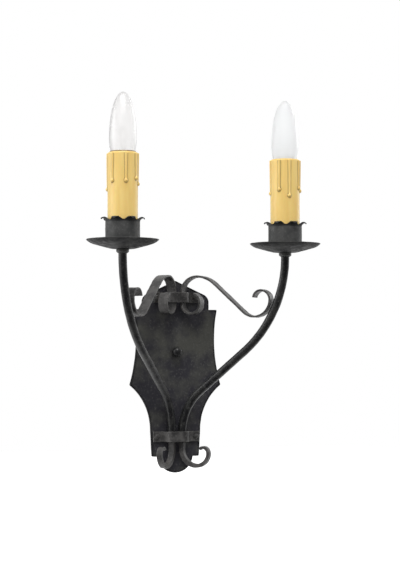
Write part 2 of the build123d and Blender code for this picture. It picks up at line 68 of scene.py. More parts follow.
# Arms and scrolls
PIPE_R = 5 * MM
PIPE_BORE_R = 3.4 * MM
PIPE_HOLE_R = 5.05 * MM
PIPE_FOOT = -106.35 * MM
ARM_X = 6.45 * MM
ARM_BASE = Vector((ARM_X, -24.1 * MM, 0))
ARM_TURN = -45
ARM_SLOPE = 39.6
KNEE_R = 64 * MM
ELBOW_R = 142 * MM
TAIL_RUN = 8.6 * MM
TAIL_WIDE = 7 * MM
TAIL_THICK = 6.6 * MM
TAIL_END_THICK = 3.6 * MM
TAIL_RADII = (19 * MM, 15.1 * MM, 6.5 * MM)
TAIL_END = (5 * MM, 60)
RIBBON_WIDE = 12.7 * MM
RIBBON_START = 0.879 * MM
INNER_CURL = [(7.2 * MM,), (12 * MM, 250)]
ARCH_AND_HOOK = [
    (5.5 * MM,),
    (19 * MM, -90),
    (34 * MM, -42),
    (51.344 * MM,),
    (19.5 * MM, 132),
    (11 * MM, 90),
    (9.5 * MM, 85),
]

# Pans, rings, cups and ball nut
CANDLE_AXIS = Vector((99.081 * MM, -116.731 * MM, 0))
PAN_FLOOR = 114.409 * MM
RING_FOOT = 110.009 * MM
RING_HIGH = 4.4 * MM
RING_R = 7.4 * MM
RING_CHAMFER = 1.6 * MM
CUP_FLOOR = 116.559 * MM
CUP_MID_R = 19.05 * MM
CUP_LIP = 145.1 * MM
PETALS = 7
PETAL_STEPS = 18
PETAL_ROWS = 10
PETAL_LONG = 9.7 * MM
PETAL_SHORT = 1.9 * MM
FLARE_R = 4.4 * MM
FLARE_TURN = radians(80)
LIP_R = 1.7 * MM
BALL_R = 6.5 * MM
BALL_CENTRE = 5.6 * MM

# Candles
SLEEVE_R = 17 * MM
SLEEVE_BORE_R = 15.1 * MM
SLEEVE_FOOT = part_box("right_candle_sleeve")[0].z
SLEEVE_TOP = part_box("right_candle_sleeve")[1].z
DARK_RING_R = 14.57 * MM
DARK_RING_THICK = 0.5 * MM
DARK_RING_STRETCH = 4
# Each drip: bearing from straight ahead in degrees, positive to the right, and length from the top
LEFT_DRIPS = ((-111, 44), (-61, 35), (-6, 35), (40, 32), (64, 38), (118, 41), (176, 33))
RIGHT_DRIPS = ((-101, 42), (-47, 38), (-6, 45), (42, 36), (64, 39), (125, 34), (180, 43))

# How far from flat, in degrees, a hollow of the iron gets painted shade or an edge is rubbed bare, and a
# hollow of the wax holds glaze
WEAR_AND_SHADE_REACH = 22
GLAZE_REACH = 12
LAMP_AIM = (0, -0.06, 0.05)


# Shaping

def deselect():
    bpy.ops.object.select_all(action="DESELECT")


def edit():
    bpy.ops.object.mode_set(mode="EDIT")


def leave():
    bpy.ops.object.mode_set(mode="OBJECT")


def start(name):
    """Names the new primitive, puts its place into its mesh and opens it with everything selected."""
    piece = bpy.context.object
    piece.name = name
    piece.data.name = name
    bpy.ops.object.transform_apply(location=True, rotation=True, scale=True)
    edit()
    bpy.ops.mesh.select_all(action="SELECT")
    return piece


def select(kind, test):
    """Selects the points, edges or faces that pass a test."""
    bpy.ops.mesh.select_mode(type=kind)
    bpy.ops.mesh.select_all(action="DESELECT")
    data = bpy.context.object.data
    mesh = bmesh.from_edit_mesh(data)
    parts = {"VERT": mesh.verts, "EDGE": mesh.edges, "FACE": mesh.faces}[kind]
    mesh.normal_update()
    for part in parts:
        if test(part):
            part.select_set(True)
    mesh.select_flush_mode()
    bmesh.update_edit_mesh(data)


def pull(move):
    bpy.ops.mesh.extrude_region_move(TRANSFORM_OT_translate={"value": move})


def pull_point(move):
    bpy.ops.mesh.extrude_vertices_move(TRANSFORM_OT_translate={"value": move})


def long_of(move):
    return move[0] if len(move) == 1 else move[0] * radians(abs(move[1]))


def follow(point, heading, moves, grain, draw=pull, taper=0):
    """Draws what is selected along runs (length,) and bends (radius, degrees), left positive, in X and Z.

    A taper is the share of its thickness that a bar loses evenly on the way."""
    point = Vector(point)
    angle = radians(heading)
    whole = sum(long_of(move) for move in moves)
    thick = 1
    for move in moves:
        steps = max(len(move), round(long_of(move) / grain))
        for _ in range(steps):
            if len(move) == 1:
                step = Vector((cos(angle), 0, sin(angle))) * (move[0] / steps)
                draw(step)
                point = point + step
            else:
                turn = radians(move[1]) / steps
                side = move[0] if turn > 0 else -move[0]
                centre = point + Vector((-sin(angle), 0, cos(angle))) * side
                bpy.ops.mesh.spin(steps=1, angle=turn, center=centre, axis=(0, 1, 0))
                angle += turn
                point = centre - Vector((-sin(angle), 0, cos(angle))) * side
            if taper:
                thinner = thick - taper * long_of(move) / steps / whole
                bpy.ops.transform.resize(value=(thinner / thick, 1, thinner / thick), center_override=point)
                thick = thinner


def start_line(name, point):
    """One point to draw a line from."""
    deselect()
    bpy.ops.mesh.primitive_plane_add(size=MM, location=point)
    piece = start(name)
    bpy.ops.mesh.select_mode(type="VERT")
    bpy.ops.mesh.merge(type="CENTER")
    return piece


def start_bar(name, point, heading, wide, thick, grain):
    """The end of a flat bar, ready to be drawn out."""
    deselect()
    bpy.ops.mesh.primitive_grid_add(
        size=1,
        x_subdivisions=max(2, round(thick / grain)),
        y_subdivisions=max(2, round(wide / grain)),
        location=point,
        rotation=(0, radians(90 - heading), 0),
    )
    bpy.context.object.scale = (thick, wide, 1)
    piece = start(name)
    bpy.ops.mesh.select_mode(type="FACE")
    return piece


def face_outwards():
    """Merges doubles and faces the skin outwards."""
    bpy.ops.mesh.select_all(action="SELECT")
    bpy.ops.mesh.remove_doubles(threshold=SEAM)
    bpy.ops.mesh.normals_make_consistent(inside=False)


def lathe(segments):
    """Turns the line that is open for editing about the Z axis."""
    bpy.ops.mesh.select_all(action="SELECT")
    bpy.ops.mesh.spin(steps=segments, angle=2 * pi, center=ORIGIN, axis=(0, 0, 1), use_auto_merge=True)
    face_outwards()


def close_up():
    """Faces the skin outwards and leaves edit mode."""
    face_outwards()
    leave()


def make_active(piece):
    deselect()
    piece.select_set(True)
    bpy.context.view_layer.objects.active = piece


def put(piece, place, turn=ORIGIN):
    """Moves a piece that was shaped about the origin to its place, and keeps that place in its mesh."""
    make_active(piece)
    piece.location = place
    piece.rotation_euler = [radians(angle) for angle in turn]
    bpy.ops.object.transform_apply(location=True, rotation=True, scale=True)
    return piece


def copy_of(piece, name):
    make_active(piece)
    bpy.ops.object.duplicate()
    twin = bpy.context.object
    twin.name = name
    twin.data.name = name
    return twin


def left_of(piece, name):
    """The same piece on the left, with its own mesh."""
    twin = copy_of(piece, name)
    edit()
    bpy.ops.mesh.select_all(action="SELECT")
    bpy.ops.transform.resize(value=(-1, 1, 1), center_override=ORIGIN)
    bpy.ops.mesh.flip_normals()
    leave()
    return twin


def modify(piece, kind, **settings):
    """Adds a modifier and applies it."""
    make_active(piece)
    tool = piece.modifiers.new(kind.lower(), kind)
    for name, value in settings.items():
        setattr(tool, name, value)
    bpy.ops.object.modifier_apply(modifier=tool.name)
    return piece


def round_edges(piece, wide, steps=2, angle=50):
    return modify(
        piece, "BEVEL", width=wide, segments=steps, limit_method="ANGLE", angle_limit=radians(angle)
    )


def cut(piece, cutter):
    """Takes one shape out of another and throws the cutter away."""
    modify(piece, "BOOLEAN", operation="DIFFERENCE", object=cutter, solver="EXACT")
    bpy.data.objects.remove(cutter)
    return piece


def dent_texture(name, wide):
    dents = bpy.data.textures.new(name, "VORONOI")
    dents.distance_metric = "DISTANCE_SQUARED"
    dents.noise_scale = wide
    return dents


broad_dents = dent_texture("broad hammer dents", 9 * MM)
small_dents = dent_texture("small hammer dents", 5.5 * MM)
waver = bpy.data.textures.new("uneven forging", "CLOUDS")
waver.noise_scale = 22 * MM
waver.noise_depth = 2


def hammer(piece, dents, deep, uneven=0):
    """Dents the skin inwards, and lets it waver a little."""
    modify(piece, "DISPLACE", texture=dents, texture_coords="LOCAL", mid_level=1, strength=deep)
    if uneven:
        modify(piece, "DISPLACE", texture=waver, texture_coords="LOCAL", mid_level=1, strength=uneven)
    return piece


def mark_relief(piece, attribute_name="wear", reach=WEAR_AND_SHADE_REACH):
    """Paints a skin from 0 in its hollows, over 0.5 where it is flat, to 1 on its edges."""
    make_active(piece)
    bpy.ops.geometry.color_attribute_add(
        name=attribute_name, domain="CORNER", data_type="FLOAT_COLOR", color=WHITE
    )
    bpy.ops.paint.vertex_color_dirt(
        blur_strength=1,
        blur_iterations=1,
        clean_angle=radians(90 + reach),
        dirt_angle=radians(90 - reach),
        normalize=False,
    )


def darken(piece, attribute_name, level, test):
    """Paints a level over the relief wherever a point of the skin passes a test."""
    data = piece.data
    paint = data.color_attributes[attribute_name].data
    for corner, dab in zip(data.loops, paint):
        if test(data.vertices[corner.vertex_index].co):
            dab.color = (level, level, level, 1)


def dress(piece, finish, slot, body, *stands_for, angle=40):
    """Gives a piece its finish and hangs it on its body in place of the plain nodes."""
    make_active(piece)
    bpy.ops.object.shade_smooth_by_angle(angle=radians(angle))
    piece.data.materials.clear()
    piece.data.materials.append(finish)
    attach(piece, body)
    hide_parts(*stands_for)
    return piece


# Finishes

def new_finish(name):
    finish = bpy.data.materials.new(name)
    finish.use_nodes = True
    return finish, finish.node_tree, finish.node_tree.nodes["Principled BSDF"]


def node(tree, kind, **settings):
    made = tree.nodes.new(kind)
    for name, value in settings.items():
        setattr(made, name, value)
    return made


def noise(tree, wide, detail=3.0, stretch=None):
    """Cloudy values about as wide as given, on Object coordinates."""
    place = node(tree, "ShaderNodeTexCoord").outputs["Object"]
    if stretch:
        mapping = node(tree, "ShaderNodeMapping")
        mapping.inputs["Scale"].default_value = stretch
        tree.links.new(place, mapping.inputs["Vector"])
        place = mapping.outputs["Vector"]
    made = node(tree, "ShaderNodeTexNoise")
    made.inputs["Scale"].default_value = 1 / wide
    made.inputs["Detail"].default_value = detail
    tree.links.new(place, made.inputs["Vector"])
    return made.outputs["Fac"]


def ramp(tree, value, *stops):
    """Colours at places between 0 and 1."""
    made = node(tree, "ShaderNodeValToRGB")
    steps = made.color_ramp.elements
    while len(steps) < len(stops):
        steps.new(0.5)
    for step, (at, colour) in zip(steps, stops):
        step.position = at
        step.color = (*colour, 1)
    tree.links.new(value, made.inputs["Fac"])
    return made.outputs["Color"]


def spread(tree, value, low, high, bottom=0.3, top=0.7):
    """A value between bottom and top, carried over to low and high."""
    made = node(tree, "ShaderNodeMapRange")
    made.inputs["From Min"].default_value = bottom
    made.inputs["From Max"].default_value = top
    made.inputs["To Min"].default_value = low
    made.inputs["To Max"].default_value = high
    tree.links.new(value, made.inputs["Value"])
    return made.outputs["Result"]


def blend_colour(tree, share, skin, plain):
    """Covers a share of the skin's colour with a plain one."""
    made = node(tree, "ShaderNodeMix", data_type="RGBA")
    tree.links.new(share, made.inputs["Factor"])
    tree.links.new(skin, made.inputs[6])
    made.inputs[7].default_value = (*plain, 1)
    return made.outputs[2]


def combine(tree, operation, first, second, clamp=False):
    """Two values brought together by an operation."""
    made = node(tree, "ShaderNodeMath", operation=operation, use_clamp=clamp)
    tree.links.new(first, made.inputs[0])
    tree.links.new(second, made.inputs[1])
    return made.outputs[0]


def axes_of(tree, coordinates):
    axes = node(tree, "ShaderNodeSeparateXYZ")
    tree.links.new(node(tree, "ShaderNodeTexCoord").outputs[coordinates], axes.inputs["Vector"])
    return axes.outputs


def roughen(tree, shader, cloud, low, high):
    tree.links.new(spread(tree, cloud, low, high), shader.inputs["Roughness"])


def bump(tree, shader, height, deep, under=None):
    made = node(tree, "ShaderNodeBump")
    made.inputs["Distance"].default_value = deep
    tree.links.new(height, made.inputs["Height"])
    if under:
        tree.links.new(under, made.inputs["Normal"])
    tree.links.new(made.outputs["Normal"], shader.inputs["Normal"])
    return made.outputs["Normal"]


def attribute(tree, name):
    return node(tree, "ShaderNodeAttribute", attribute_name=name).outputs["Fac"]


def make_iron(name, deep, pale, worn, rough, patch, shine=0.35, painted_light_band=None):
    """Black over forged iron: patchy, rubbed light on its edges, with painted shade that makes its hollows
    black.

    A painted light band is four heights: darker up to the first, palest between the next two, and dark from
    the last, as painted shadow under the ribbons."""
    finish, tree, shader = new_finish(name)
    mottle = noise(tree, patch, 6)
    if painted_light_band:
        dark_below, pale_from, pale_to, painted_shadow_above = painted_light_band
        height = axes_of(tree, "Object")["Z"]
        mottle = combine(tree, "ADD", mottle, spread(tree, height, -0.1, 0.06, dark_below, pale_from))
        # Painted shadow: the plate goes dark above the band, where the ribbons shade its crown
        mottle = combine(tree, "ADD", mottle, spread(tree, height, 0.0, -0.18, pale_to, painted_shadow_above))
    skin = ramp(tree, mottle, (0.4, deep), (0.62, pale))
    flecks = spread(tree, noise(tree, 2.4 * MM, 5), 0, 0.6, 0.55, 0.75)
    skin = blend_colour(tree, flecks, skin, worn)
    relief = attribute(tree, "wear")
    skin = blend_colour(tree, spread(tree, relief, 0, 0.75, 0.57, 0.74), skin, worn)
    # Painted shade: the hollows of the relief go nearly black
    skin = blend_colour(tree, spread(tree, relief, 0.8, 0, 0.3, 0.46), skin, (0.004, 0.004, 0.005))
    tree.links.new(skin, shader.inputs["Base Color"])
    shader.inputs["Specular IOR Level"].default_value = shine
    roughen(tree, shader, noise(tree, 6 * MM, 4), rough * 0.8, rough * 1.25)
    peel = bump(tree, shader, noise(tree, 4.5 * MM, 4), 0.25 * MM)
    bump(tree, shader, noise(tree, 0.9 * MM, 3), 0.06 * MM, peel)
    return finish


def make_plain_metal(name, colour, rough, grain=None):
    """Plated or drawn metal, with a fine grain along one way."""
    finish, tree, shader = new_finish(name)
    shader.inputs["Metallic"].default_value = 1.0
    cloud = noise(tree, 6 * MM, 4)
    dull = tuple(part * 0.72 for part in colour)
    tree.links.new(ramp(tree, cloud, (0.3, dull), (0.68, colour)), shader.inputs["Base Color"])
    roughen(tree, shader, noise(tree, 3 * MM, 3), rough * 0.75, rough * 1.3)
    bump(tree, shader, noise(tree, 0.7 * MM, 2, grain), 0.03 * MM)
    return finish


def make_moulded(name, colour, rough):
    """Moulded or painted skin with a slight texture."""
    finish, tree, shader = new_finish(name)
    light = tuple(min(1, part * 1.35 + 0.004) for part in colour)
    cloud = noise(tree, 9 * MM, 3)
    tree.links.new(ramp(tree, cloud, (0.35, colour), (0.75, light)), shader.inputs["Base Color"])
    roughen(tree, shader, noise(tree, 4 * MM, 2), rough * 0.85, rough * 1.15)
    bump(tree, shader, noise(tree, 0.8 * MM, 2), 0.03 * MM)
    return finish


def make_candle_wax():
    """Honey-coloured sleeve with brown glaze left beside the drips."""
    finish, tree, shader = new_finish("candle_wax")
    streaks = noise(tree, 5 * MM, 4, (1, 1, 0.12))
    body = ramp(tree, streaks, (0.3, (0.70, 0.47, 0.135)), (0.7, (0.755, 0.545, 0.178)))
    hollow = spread(tree, attribute(tree, "glaze"), 0.95, 0, 0.27, 0.503)
    body = blend_colour(tree, hollow, body, (0.10, 0.062, 0.014))
    tree.links.new(body, shader.inputs["Base Color"])
    shader.inputs["Subsurface Weight"].default_value = 0.12
    shader.inputs["Subsurface Radius"].default_value = (0.004, 0.002, 0.0008)
    shader.inputs["Subsurface Scale"].default_value = 1.0
    roughen(tree, shader, noise(tree, 8 * MM, 3), 0.36, 0.5)
    bump(tree, shader, noise(tree, 3 * MM, 3), 0.08 * MM)
    return finish


def make_clear_glass():
    finish, tree, shader = new_finish("clear_glass")
    shader.inputs["Base Color"].default_value = (0.986, 0.981, 0.977, 1)
    shader.inputs["Transmission Weight"].default_value = 1.0
    shader.inputs["IOR"].default_value = 1.47
    roughen(tree, shader, noise(tree, 12 * MM, 2), 0.26, 0.38)
    bump(tree, shader, noise(tree, 14 * MM, 1), 0.05 * MM)
    return finish


def make_frosted_glass():
    finish, tree, shader = new_finish("frosted_glass")
    cloud = noise(tree, 18 * MM, 2)
    tint = ramp(tree, cloud, (0.3, (0.95, 0.956, 0.958)), (0.7, (0.968, 0.973, 0.974)))
    tree.links.new(tint, shader.inputs["Base Color"])
    shader.inputs["Transmission Weight"].default_value = 0.95
    roughen(tree, shader, noise(tree, 2 * MM, 2), 0.42, 0.55)
    bump(tree, shader, noise(tree, 0.5 * MM, 2), 0.02 * MM)
    return finish


# One black paint in lit and shaded copies, as painted light and shade part by part: paler on the cups,
# ribbons, tails, straps and rivets, darker on the drip pans, and darkest on the pipes, check rings and ball
# nut; the plate's iron lies between
plate_iron = make_iron(
    "plate_iron", (0.028, 0.027, 0.034), (0.060, 0.060, 0.053), (0.095, 0.094, 0.09), 0.5, 24 * MM,
    # Painted light band: palest from 0 to 30 mm, painted shadow of the ribbons from 50 mm up
    painted_light_band=(-60 * MM, 0, 30 * MM, 50 * MM),
)
shaded_pan_iron = make_iron(
    "shaded_pan_iron", (0.020, 0.020, 0.021), (0.036, 0.036, 0.035), (0.075, 0.074, 0.072), 0.6, 15 * MM,
    shine=0.15,
)
lit_sheet_iron = make_iron(
    "lit_sheet_iron", (0.036, 0.037, 0.037), (0.058, 0.058, 0.057), (0.10, 0.10, 0.098), 0.6, 15 * MM
)
lit_ribbon_iron = make_iron(
    "lit_ribbon_iron", (0.030, 0.029, 0.029), (0.072, 0.069, 0.067), (0.12, 0.116, 0.112), 0.46, 12 * MM
)
finishes = {
    "black_iron": make_iron(
        "black_iron", (0.009, 0.009, 0.010), (0.024, 0.024, 0.023), (0.08, 0.079, 0.077), 0.36, 12 * MM
    ),
    "zinc_steel": make_plain_metal("zinc_steel", (0.56, 0.57, 0.58), 0.34, (1, 1, 0.1)),
    "green_screw": make_moulded("green_screw", (0.02, 0.16, 0.05), 0.35),
    "black_nylon": make_moulded("black_nylon", (0.022, 0.022, 0.023), 0.5),
    "black_phenolic": make_moulded("black_phenolic", (0.02, 0.017, 0.015), 0.28),
    "brass": make_plain_metal("brass", (0.78, 0.56, 0.22), 0.3),
    "bulb_brass": make_plain_metal("bulb_brass", (0.80, 0.64, 0.33), 0.26),
    "black_glass": make_moulded("black_glass", (0.012, 0.012, 0.014), 0.12),
    "solder": make_plain_metal("solder", (0.58, 0.58, 0.60), 0.42),
    "clear_glass": make_clear_glass(),
    "frosted_glass": make_frosted_glass(),
    "tungsten": make_plain_metal("tungsten", (0.72, 0.70, 0.69), 0.35),
    "black_lead": make_moulded("black_lead", (0.02, 0.02, 0.02), 0.55),
    "white_lead": make_moulded("white_lead", (0.74, 0.74, 0.70), 0.5),
    "candle_wax": make_candle_wax(),
}
for plain in nodes.values():
    plain.data.materials[0] = finishes[plain.data.materials[0].name]


# Backplate

def arc_to(point, centre, end):
    """Spins the last point of an outline about a centre, as far as another point."""
    from_angle = atan2(point[1] - centre[1], point[0] - centre[0])
    to_angle = atan2(end[1] - centre[1], end[0] - centre[0])
    turn = (to_angle - from_angle + pi) % (2 * pi) - pi
    reach = Vector(point) - Vector(centre)
    steps = max(6, round(abs(turn) * reach.length / (2.5 * MM)))
    bpy.ops.mesh.spin(steps=steps, angle=turn, center=(centre[0], PLATE_BACK, centre[1]), axis=(0, 1, 0))


def centre_through(first, middle, last):
    """Centre of the circle through three points."""
    (ax, ay), (bx, by), (cx, cy) = first, middle, last
    twice = 2 * (ax * (by - cy) + bx * (cy - ay) + cx * (ay - by))
    a2, b2, c2 = ax * ax + ay * ay, bx * bx + by * by, cx * cx + cy * cy
    x = (a2 * (by - cy) + b2 * (cy - ay) + c2 * (ay - by)) / twice
    y = (a2 * (cx - bx) + b2 * (ax - cx) + c2 * (bx - ax)) / twice
    return x, y


def make_backplate():
    """Half the outline is drawn, mirrored, filled and pulled forward, then hammered."""
    apex = (0, 84.5 * MM)
    crown = (42 * MM, 84.5 * MM - 42 * MM * tan(radians(24)))
    step = (42 * MM, 50.5 * MM)
    shoulder = (52.5 * MM, 50.5 * MM)
    waist = (49.3 * MM, 8 * MM)
    ear = (57.2 * MM, -39 * MM)
    neck = (31.2 * MM, -92 * MM)
    foot = (29.5 * MM, -123.5 * MM)
    tongue = (21.7 * MM, -123.5 * MM)
    tip = (0, -142.8 * MM)
    plate = start_line("backplate_hammered", (apex[0], PLATE_BACK, apex[1]))
    last = apex
    for corner in (crown, step, shoulder):
        pull_point((corner[0] - last[0], 0, corner[1] - last[1]))
        last = corner
    arc_to(shoulder, centre_through(shoulder, waist, ear), ear)
    across, drop = ear[0] - neck[0], ear[1] - neck[1]
    arc_to(ear, (neck[0] + (across**2 + drop**2) / (2 * across), neck[1]), neck)
    last = neck
    for corner in (foot, tongue):
        pull_point((corner[0] - last[0], 0, corner[1] - last[1]))
        last = corner
    arc_to(tongue, centre_through(tongue, tip, (-tongue[0], tongue[1])), tip)
    leave()
    modify(plate, "MIRROR", use_axis=(True, False, False), merge_threshold=HAIR)
    edit()
    bpy.ops.mesh.select_all(action="SELECT")
    bpy.ops.mesh.edge_face_add()
    rounded = ((crown, 6.2 * MM, 8), (shoulder, 1.2 * MM, 3), (ear, 1.2 * MM, 3), (foot, MM, 3))
    for corner, offset, steps in rounded:
        near = [Vector((side * corner[0], PLATE_BACK, corner[1])) for side in (-1, 1)]
        select("VERT", lambda point: min((point.co - place).length for place in near) < MM / 10)
        bpy.ops.mesh.bevel(affect="VERTICES", offset=offset, segments=steps)
    bpy.ops.mesh.select_all(action="SELECT")
    pull((0, PLATE_FRONT - PLATE_BACK, 0))
    close_up()
    holes = ((0, 0, STUD_HOLE_R), (-ARM_X, LEAD_HOLE_Z, LEAD_HOLE_R), (ARM_X, LEAD_HOLE_Z, LEAD_HOLE_R))
    for x, z, radius in holes:
        deselect()
        bpy.ops.mesh.primitive_cylinder_add(
            vertices=32, radius=radius, depth=20 * MM, location=(x, PLATE_FRONT, z), rotation=(pi / 2, 0, 0)
        )
        cut(plate, bpy.context.object)
    round_edges(plate, 0.6 * MM)
    make_active(plate)
    edit()
    low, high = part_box("backplate")
    for way, first, end in ((Vector((1, 0, 0)), low.x, high.x), (Vector((0, 0, 1)), low.z, high.z)):
        cuts = round((end - first) / (2.2 * MM))
        for index in range(1, cuts):
            bpy.ops.mesh.select_all(action="SELECT")
            place = way * (first + (end - first) * index / cuts)
            bpy.ops.mesh.bisect(plane_co=place, plane_no=way, threshold=SEAM)
    leave()
    hammer(plate, broad_dents, 0.4 * MM, 0.3 * MM)
    mark_relief(plate)
    return dress(plate, plate_iron, "black_iron", "frame", "backplate")


make_backplate()


# Straps and rivets

def make_strap(name, side_run, top_run, half_long, z, *stands_for):
    """Flat bar bent into the shape of a hat, lying on the plate."""
    bend_up = (STRAP_BEND, STRAP_SLOPE)
    bend_down = (STRAP_BEND, -STRAP_SLOPE)
    rise = [(STRAP_FLANGE,), bend_up, (side_run,), bend_down]
    moves = rise + [(top_run,)] + rise[::-1]
    foot = (-half_long, 0, STRIP / 2)
    grain = 1.1 * MM
    bar = start_bar(name, foot, 0, STRAP_HIGH, STRIP, grain)
    follow(foot, 0, moves, grain)
    close_up()
    round_edges(bar, 0.7 * MM, 3)
    put(bar, (0, PLATE_FRONT, z), (90, 0, 0))
    hammer(bar, small_dents, 0.35 * MM)
    mark_relief(bar)
    return dress(bar, lit_ribbon_iron, "black_iron", "frame", *stands_for)


make_strap("lower_strap_forged", 6.158 * MM, 16.34 * MM, 29.223 * MM, LOWER_STRAP_Z, "lower_strap")
make_strap("upper_strap_forged", 7.529 * MM, 14.08 * MM, 28.673 * MM, UPPER_STRAP_Z, "upper_strap")


def make_rivets(name, x, z, stands_for):
    """A pair of rivets with round heads in front and flatter ones behind the plate."""
    pair = []
    for side in (-1, 1):
        deselect()
        bpy.ops.mesh.primitive_uv_sphere_add(segments=28, ring_count=16, radius=RIVET_R)
        rivet = start(name)
        bpy.ops.mesh.bisect(plane_co=ORIGIN, plane_no=(0, 0, 1), use_fill=True, clear_inner=True)
        bpy.ops.mesh.select_all(action="SELECT")
        bpy.ops.transform.resize(value=(1, 1, 0.62), center_override=ORIGIN)
        select("FACE", lambda face: face.normal.z < -0.9 and face.calc_center_median().z < HAIR)
        bpy.ops.mesh.inset(thickness=1.6 * MM)
        pull((0, 0, PLATE_FRONT - PLATE_BACK - STRIP))
        bpy.ops.mesh.inset(thickness=-1.3 * MM, use_outset=False)
        pull((0, 0, -1.1 * MM))
        bpy.ops.transform.resize(value=(0.6, 0.6, 1), center_override=ORIGIN)
        close_up()
        round_edges(rivet, 0.3 * MM)
        modify(rivet, "SUBSURF", levels=1, render_levels=1)
        put(rivet, (side * x, PLATE_FRONT - STRIP, z), (90, 0, 0))
        pair.append(rivet)
    make_active(pair[0])
    pair[1].select_set(True)
    bpy.ops.object.join()
    rivets = pair[0]
    hammer(rivets, small_dents, 0.25 * MM)
    mark_relief(rivets)
    return dress(rivets, lit_ribbon_iron, "black_iron", "frame", stands_for)


make_rivets("lower_rivets_forged", 24.623 * MM, LOWER_STRAP_Z, "lower_strap_rivets")
make_rivets("upper_rivets_forged", 24.073 * MM, UPPER_STRAP_Z, "upper_strap_rivets")


# Arms and scrolls, drawn in the arm's own plane and turned out from the wall

def both_sides(piece, finish, node_name, dents, deep, uneven):
    """Puts a piece on the right arm, copies it to the left and hammers each on its own."""
    right = put(piece, ARM_BASE, (0, 0, ARM_TURN))
    left = left_of(right, piece.name.replace("right", "left"))
    for side, made in (("right_", right), ("left_", left)):
        hammer(made, dents, deep, uneven)
        mark_relief(made)
        dress(made, finish, "black_iron", "frame", side + node_name)


def make_arms():
    """Pipe with a wall, bent out and up."""
    deselect()
    foot = (0, 0, PIPE_FOOT)
    bpy.ops.mesh.primitive_circle_add(vertices=36, radius=PIPE_R, fill_type="NGON", location=foot)
    pipe = start("right_arm_forged")
    bpy.ops.mesh.select_mode(type="FACE")
    bpy.ops.mesh.inset(thickness=PIPE_R - PIPE_BORE_R)
    bpy.ops.mesh.delete(type="FACE")
    bpy.ops.mesh.select_all(action="SELECT")
    lean = 90 - ARM_SLOPE
    moves = [(10.95 * MM,), (KNEE_R, -lean), (73.08 * MM,), (ELBOW_R, lean), (19.35 * MM,)]
    follow(foot, 90, moves, 1.6 * MM)
    close_up()
    deselect()
    bpy.ops.mesh.primitive_cube_add(
        size=1,
        location=(-3.6 * MM, 3.6 * MM, -99.6 * MM),
        scale=(7 * MM, 7 * MM, 9.4 * MM),
        rotation=(0, 0, pi / 4),
    )
    slot = start("lead slot")
    leave()
    cut(pipe, slot)
    round_edges(pipe, 0.4 * MM)
    both_sides(pipe, finishes["black_iron"], "arm", broad_dents, 0.2 * MM, 0.15 * MM)


make_arms()


def make_tails():
    """Tail below each pipe, drawn thinner as it curls outwards."""
    foot = (0, 0, PIPE_FOOT - 0.05 * MM)
    grain = 1.1 * MM
    tail = start_bar("right_tail_forged", foot, -90, TAIL_WIDE, TAIL_THICK, grain)
    moves = [(TAIL_RUN,)] + [(radius, 90) for radius in TAIL_RADII] + [TAIL_END]
    follow(foot, -90, moves, grain, taper=1 - TAIL_END_THICK / TAIL_THICK)
    close_up()
    round_edges(tail, 0.8 * MM, 3)
    both_sides(tail, lit_ribbon_iron, "tail_scroll", small_dents, 0.25 * MM, 0.1 * MM)


make_tails()


def make_ribbons():
    """Ribbon clamped by the upper strap: down into its inner curl, and up, over and into the hook."""
    foot = Vector((RIBBON_START, 0, UPPER_STRAP_Z))
    grain = 1.2 * MM
    ribbon = start_bar("right_ribbon_forged", foot, -90, RIBBON_WIDE, STRIP, grain)
    follow(foot, -90, INNER_CURL, grain)
    select("FACE", lambda face: face.normal.z > 0.9 and abs(face.calc_center_median().z - foot.z) < HAIR)
    follow(foot, 90, ARCH_AND_HOOK, grain)
    close_up()
    round_edges(ribbon, 0.8 * MM, 3)
    both_sides(ribbon, lit_ribbon_iron, "ribbon_scroll", small_dents, 0.4 * MM, 0.25 * MM)


make_ribbons()


# Drip pans, rings and cups

def on_candle(side):
    return Vector((side * CANDLE_AXIS.x, CANDLE_AXIS.y, 0))


def set_on_candles(piece, finish, node_name, dents, deep, uneven=0):
    """Puts one copy of a turned piece on each candle's axis, hammered on its own."""
    twin = copy_of(piece, piece.name.replace("right", "left"))
    for side, label, made in ((1, "right_", piece), (-1, "left_", twin)):
        put(made, on_candle(side))
        hammer(made, dents, deep, uneven)
        mark_relief(made)
        dress(made, finish, "black_iron", "frame", label + node_name)


def make_drip_pans():
    """Shallow saucer raised from sheet."""
    foot = (PIPE_HOLE_R, 0, PAN_FLOOR + SHEET / 2)
    pan = start_line("right_drip_pan_forged", foot)
    moves = [(5.465 * MM,), (20 * MM, 15.5), (17.363 * MM,), (18.6 * MM, 30.5)]
    follow(foot, 0, moves, 1.5 * MM, pull_point)
    lathe(120)
    leave()
    modify(pan, "SOLIDIFY", thickness=SHEET, offset=0)
    round_edges(pan, 0.5 * MM)
    set_on_candles(pan, shaded_pan_iron, "drip_pan", broad_dents, 0.3 * MM, 0.3 * MM)


make_drip_pans()


def make_check_rings():
    """Chamfered ring under each pan."""
    foot = (0, 0, RING_FOOT)
    foot_r = RING_R - RING_CHAMFER
    wider = RING_R / foot_r
    deselect()
    bpy.ops.mesh.primitive_circle_add(vertices=40, radius=foot_r, fill_type="NGON", location=foot)
    ring = start("right_check_ring_forged")
    bpy.ops.mesh.select_mode(type="FACE")
    pull((0, 0, RING_CHAMFER))
    bpy.ops.transform.resize(value=(wider, wider, 1), center_override=foot)
    pull((0, 0, RING_HIGH - RING_CHAMFER))
    close_up()
    deselect()
    bpy.ops.mesh.primitive_cylinder_add(vertices=40, radius=PIPE_HOLE_R, depth=20 * MM, location=foot)
    cut(ring, bpy.context.object)
    round_edges(ring, 0.4 * MM, 2, 25)
    set_on_candles(ring, finishes["black_iron"], "check_ring", small_dents, 0.2 * MM)


make_check_rings()


